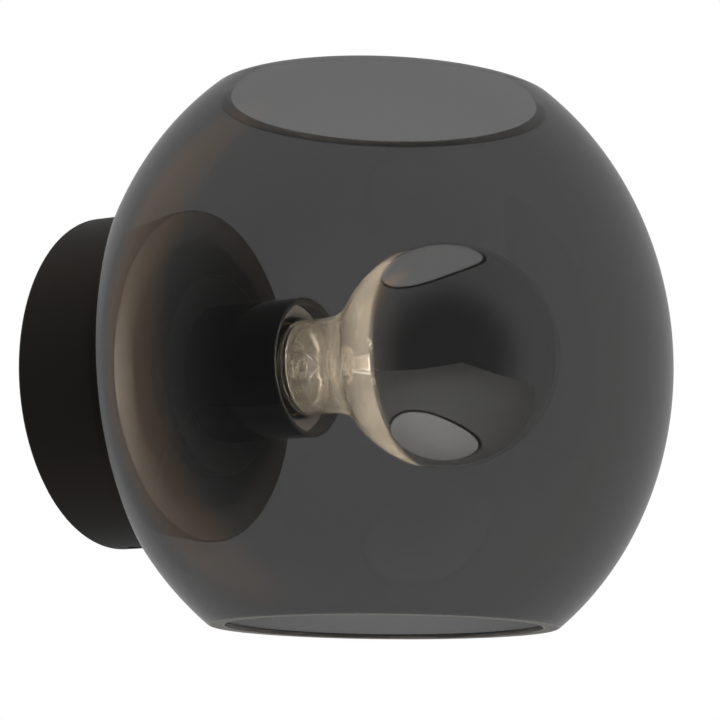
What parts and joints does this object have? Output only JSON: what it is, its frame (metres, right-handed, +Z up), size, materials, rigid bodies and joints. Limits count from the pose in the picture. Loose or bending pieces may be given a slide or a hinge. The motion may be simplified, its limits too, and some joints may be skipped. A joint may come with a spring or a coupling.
{
  "type": "globe wall sconce",
  "caption": "Wall light with a drum canopy, a flattened smoked glass globe open above and below, and a screw lampholder with a crown mirror lamp.",
  "frame": {"origin": "on the wall plane, on the axis of canopy, lampholder and lamp", "axes": "+Y into the wall along the lamp's axis, the lamp points along -Y, +Z up, +X to the right as seen from the room"},
  "size_m": [0.19, 0.1735, 0.153],
  "materials": {
    "zinc_steel": "bright zinc plate",
    "black_steel": "black oxide",
    "brass": "bright, as drawn",
    "satin_black": "satin powder coat, warm black",
    "gloss_black": "gloss",
    "black_phenolic": "moulded",
    "black_nylon": "moulded",
    "ivory_nylon": "moulded",
    "black_rubber": "matt",
    "clear_silicone": "translucent, matt",
    "earth_pvc": "green and yellow",
    "live_pvc": "brown",
    "neutral_pvc": "blue",
    "smoked_glass": "polished, smoke grey, ground edges",
    "clear_glass": "polished",
    "mirror_coat": "silvered crown",
    "nickel_cap": "bright nickel",
    "black_vitrite": "glassy",
    "solder_tip": "dull solder",
    "lead_wire": "drawn",
    "filament": "coiled tungsten"
  },
  "bodies": {
    "fixture": {"wall_bracket": "zinc_steel", "cable_bush": "black_rubber", "terminal_block": "ivory_nylon", "terminal_inserts": "brass", "terminal_screws": "zinc_steel", "terminal_fixing_screw": "zinc_steel", "earth_screw": "zinc_steel", "earth_tag": "zinc_steel", "earth_lead": "earth_pvc", "canopy_shell": "satin_black", "canopy_set_screws": "black_steel", "nipple_tube": "brass", "nipple_nut": "zinc_steel", "nipple_washer": "zinc_steel", "centring_ring": "black_nylon", "rear_gasket": "clear_silicone", "glass_shade": "smoked_glass", "front_gasket": "clear_silicone", "shade_plate": "satin_black", "base_collar": "satin_black", "holder_sleeve": "gloss_black", "sleeve_screws": "zinc_steel", "holder_insert": "black_phenolic", "insert_screws": "zinc_steel", "screw_shell": "brass", "shell_rivets": "brass", "centre_contact": "brass", "contact_rivet": "brass", "holder_terminals": "brass", "holder_terminal_screws": "zinc_steel", "live_lead": "live_pvc", "neutral_lead": "neutral_pvc"},
    "lamp_envelope": {"bulb_glass": "clear_glass", "bulb_mirror": "mirror_coat"},
    "lamp_cap": {"bulb_cap": "nickel_cap", "bulb_cap_insulator": "black_vitrite", "bulb_tip_contact": "solder_tip", "bulb_stem": "clear_glass", "bulb_lead_wires": "lead_wire", "bulb_filament": "filament", "bulb_filament_supports": "lead_wire"}
  },
  "joints": [
    {"name": "lamp_travel", "type": "slide", "parent": "fixture", "child": "lamp_envelope", "axis": [0, -1, 0], "range_m": [0, 0.0181]},
    {"name": "lamp_turn", "type": "hinge", "parent": "lamp_envelope", "child": "lamp_cap", "pos_m": [0, -0.07, 0], "axis": [0, -1, 0], "range_deg": [0, 1800]}
  ],
  "couplings": [
    {"joint": "lamp_turn", "follows": "lamp_travel", "rad_per_m": 1735.7}
  ]
}
